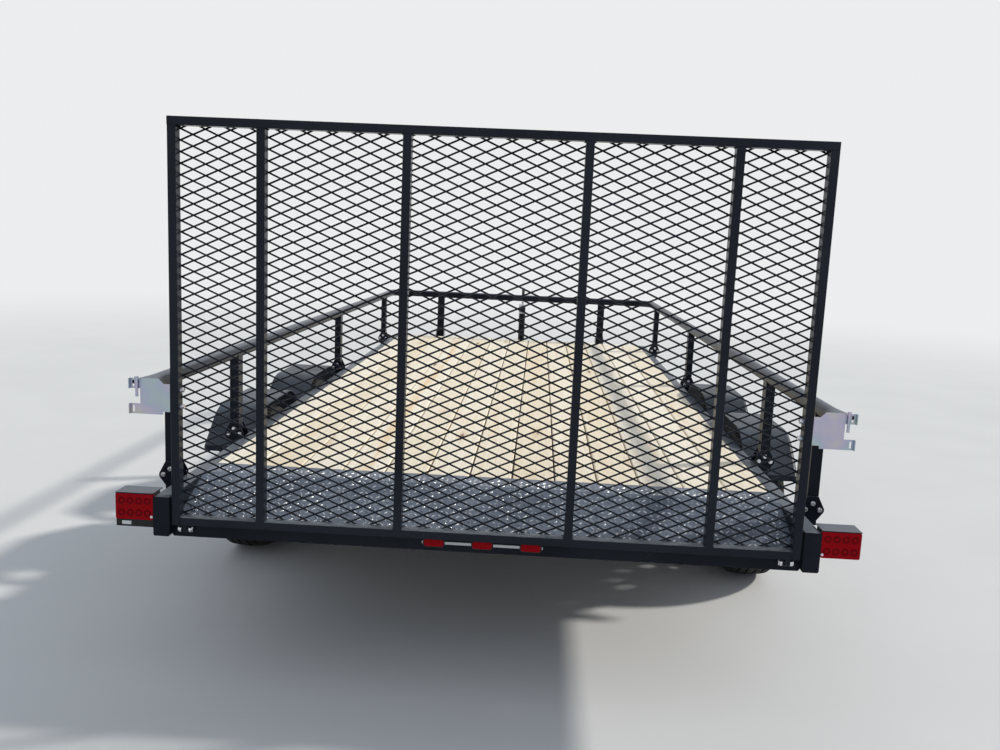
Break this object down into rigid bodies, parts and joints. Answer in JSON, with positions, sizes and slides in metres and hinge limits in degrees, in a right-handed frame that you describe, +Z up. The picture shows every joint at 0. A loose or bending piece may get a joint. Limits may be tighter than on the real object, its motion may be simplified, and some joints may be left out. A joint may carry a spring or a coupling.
{
  "type": "tandem-axle utility trailer with a mesh loading gate",
  "caption": "Open flatbed utility trailer with wood deck, round top rail, A-frame hitch tongue with jack, and a hinged mesh loading gate that folds down as a ramp.",
  "frame": {"origin": "on the ground, under the middle of the overall length and on the centre line", "axes": "+Y forward towards the hitch coupler, +X to the trailer's right, +Z up"},
  "size_m": [2.504, 6.0715, 1.799],
  "materials": {
    "frame_black": "satin black powder coat with a blue-grey sheen",
    "gate_black": "satin black powder coat",
    "axle_black": "plain black paint",
    "suspension_black": "dull black paint",
    "jack_black": "black powder coat",
    "tread_plate": "black coat, lugs worn bright",
    "coupler_zinc": "bright zinc plate",
    "zinc": "clear zinc plate with a pale iridescence",
    "hub_zinc": "grey machined steel",
    "rim_silver": "silver painted steel",
    "tyre": "black rubber",
    "deck_pine": "treated pine boards, straw with a green tint",
    "fender_plastic": "moulded black plastic, slight gloss",
    "grip_plastic": "black moulded grip",
    "lamp_black": "black lamp body",
    "lamp_bar_grey": "light grey plate",
    "red_lens": "red moulded lens",
    "amber_lens": "amber moulded lens"
  },
  "bodies": {
    "chassis": {"axles": "axle_black", "coupler": "coupler_zinc", "coupler_latch": "coupler_zinc", "crank_grip": "grip_plastic", "crossmembers": "frame_black", "deck_boards": "deck_pine", "equalizers": "suspension_black", "fenders_left": "fender_plastic", "fenders_right": "fender_plastic", "hangers": "suspension_black", "header": "frame_black", "hinge_pins": "zinc", "jack_crank": "zinc", "jack_fittings": "zinc", "jack_leg": "zinc", "jack_plate": "frame_black", "jack_tube": "jack_black", "lamp_bar": "lamp_bar_grey", "middle_lamps": "red_lens", "plate_lamp": "lamp_black", "post_feet": "frame_black", "posts_front": "frame_black", "posts_left": "frame_black", "posts_right": "frame_black", "rear_sill": "frame_black", "shackles": "suspension_black", "side_markers": "amber_lens", "side_rail_left": "frame_black", "side_rail_right": "frame_black", "springs": "suspension_black", "tail_hoods": "frame_black", "tail_housings": "lamp_black", "tail_lenses": "red_lens", "tongue_beam_left": "frame_black", "tongue_beam_right": "frame_black", "top_rail_front": "frame_black", "top_rail_left": "frame_black", "top_rail_right": "frame_black", "tread_plate": "tread_plate"},
    "gate": {"gate_bottom_bar": "gate_black", "gate_latches": "zinc", "gate_mesh_falling": "gate_black", "gate_mesh_rising": "gate_black", "gate_side_bars": "gate_black", "gate_top_bar": "gate_black", "gate_uprights": "gate_black"},
    "wheel_rear_left": {"tyre_rear_left": "tyre", "rim_rear_left": "rim_silver", "hub_rear_left": "hub_zinc"},
    "wheel_rear_right": {"tyre_rear_right": "tyre", "rim_rear_right": "rim_silver", "hub_rear_right": "hub_zinc"},
    "wheel_front_left": {"tyre_front_left": "tyre", "rim_front_left": "rim_silver", "hub_front_left": "hub_zinc"},
    "wheel_front_right": {"tyre_front_right": "tyre", "rim_front_right": "rim_silver", "hub_front_right": "hub_zinc"}
  },
  "joints": [
    {"name": "gate_hinge", "type": "hinge", "parent": "chassis", "child": "gate", "pos_m": [0, -3.0085, 0.535], "axis": [1, 0, 0], "range_deg": [0, 114]},
    {"name": "wheel_rear_left_turn", "type": "hinge", "parent": "chassis", "child": "wheel_rear_left", "pos_m": [-1.142, -1.6245, 0.3315], "axis": [1, 0, 0], "continuous": true},
    {"name": "wheel_rear_right_turn", "type": "hinge", "parent": "chassis", "child": "wheel_rear_right", "pos_m": [1.142, -1.6245, 0.3315], "axis": [1, 0, 0], "continuous": true},
    {"name": "wheel_front_left_turn", "type": "hinge", "parent": "chassis", "child": "wheel_front_left", "pos_m": [-1.142, -0.7845, 0.3315], "axis": [1, 0, 0], "continuous": true},
    {"name": "wheel_front_right_turn", "type": "hinge", "parent": "chassis", "child": "wheel_front_right", "pos_m": [1.142, -0.7845, 0.3315], "axis": [1, 0, 0], "continuous": true}
  ]
}
